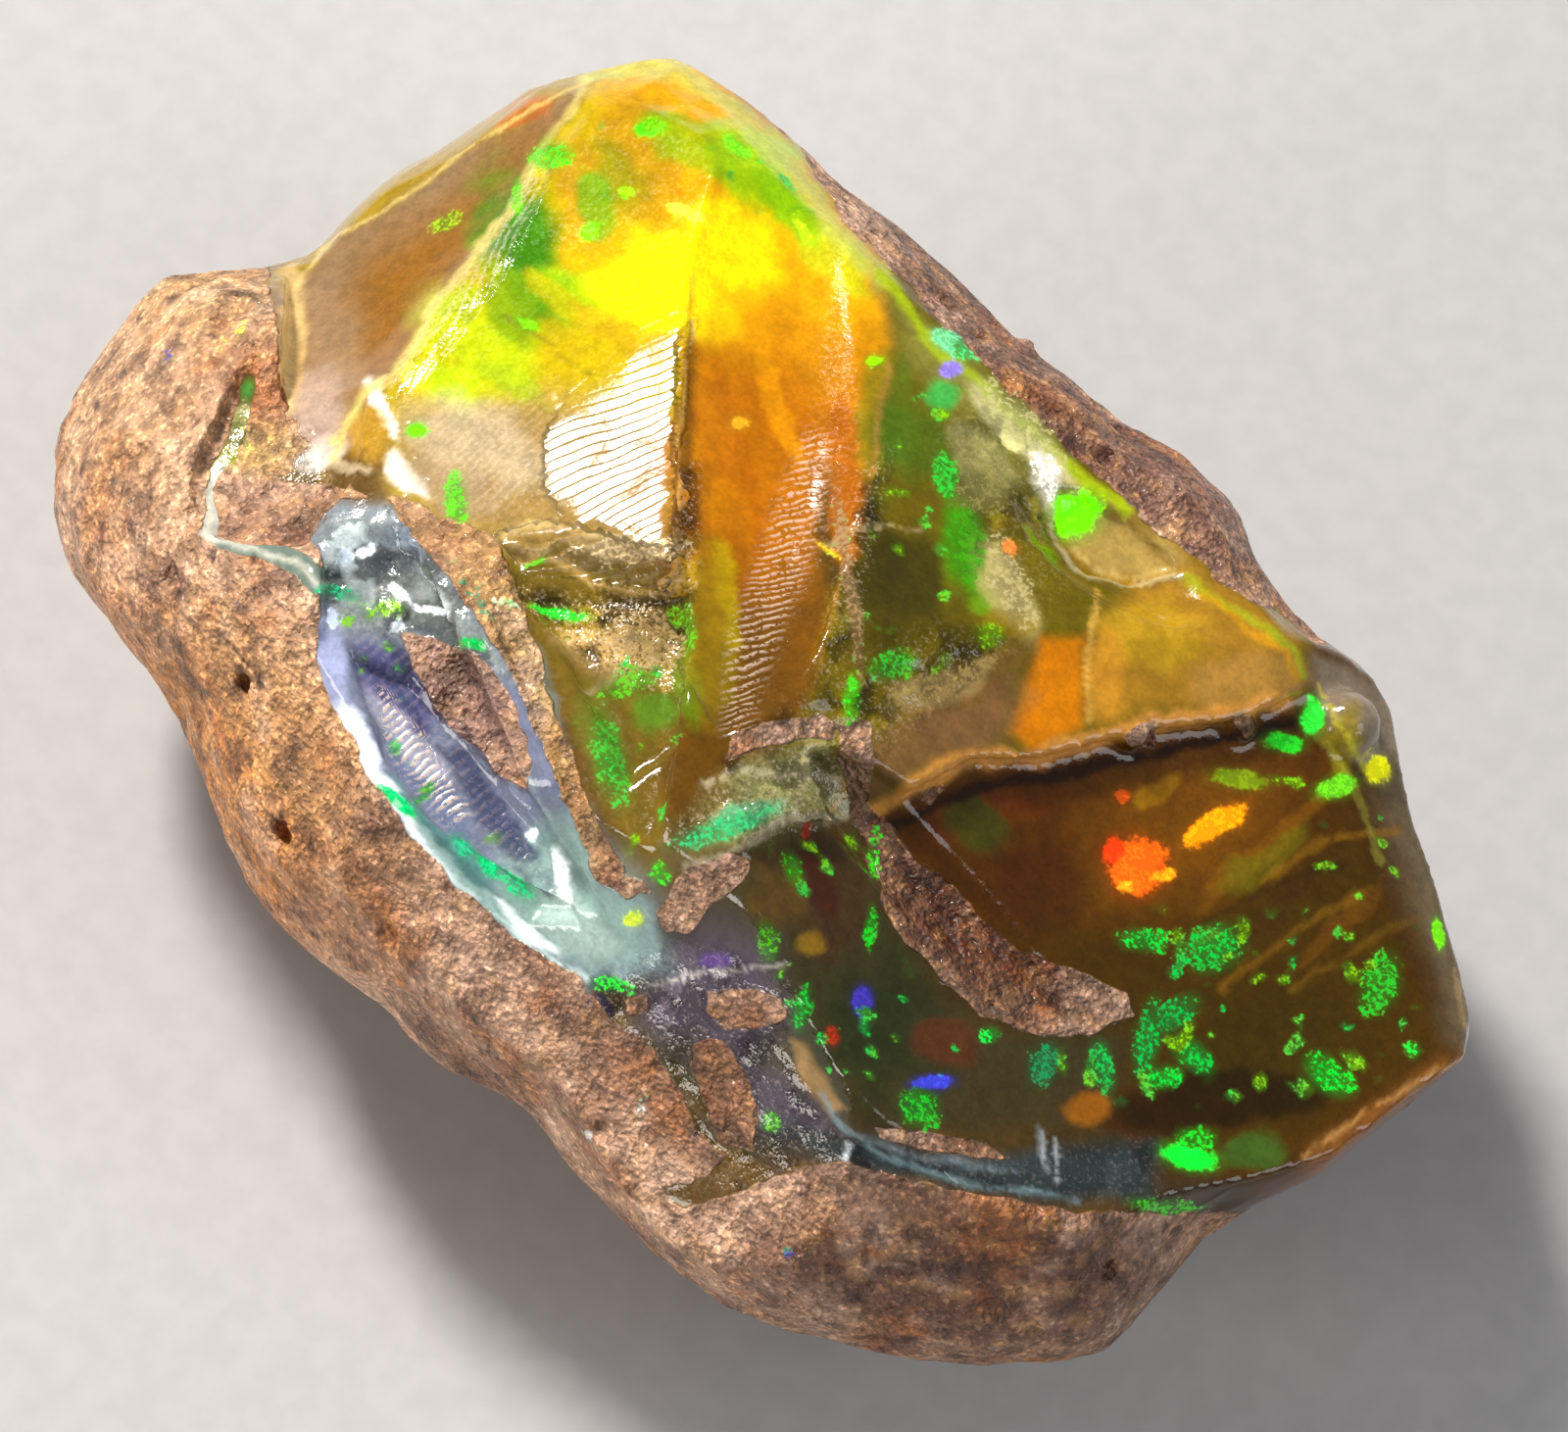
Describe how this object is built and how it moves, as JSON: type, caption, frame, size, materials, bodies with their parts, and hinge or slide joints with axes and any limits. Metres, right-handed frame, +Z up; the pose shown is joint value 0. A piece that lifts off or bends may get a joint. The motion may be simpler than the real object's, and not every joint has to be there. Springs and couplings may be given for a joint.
{
  "type": "rough fire opal",
  "caption": "Rough fire opal: a lumpy nodule in granular brown host rock, broken open into curved, see-through amber and dark glassy faces that meet in sharp ridges and a stepped ledge.",
  "frame": {"origin": "middle of the stone's outline from above, on the surface it rests on", "axes": "+Z up, +X along the stone's long side towards the dark amber block, +Y towards the back rim"},
  "size_m": [0.0464, 0.0294, 0.0223],
  "materials": {
    "opal": "glossy see-through amber opal on the broken faces, dull granular brown host rock on the natural skin"
  },
  "bodies": {
    "root": {"rough_opal": "opal"}
  },
  "joints": []
}
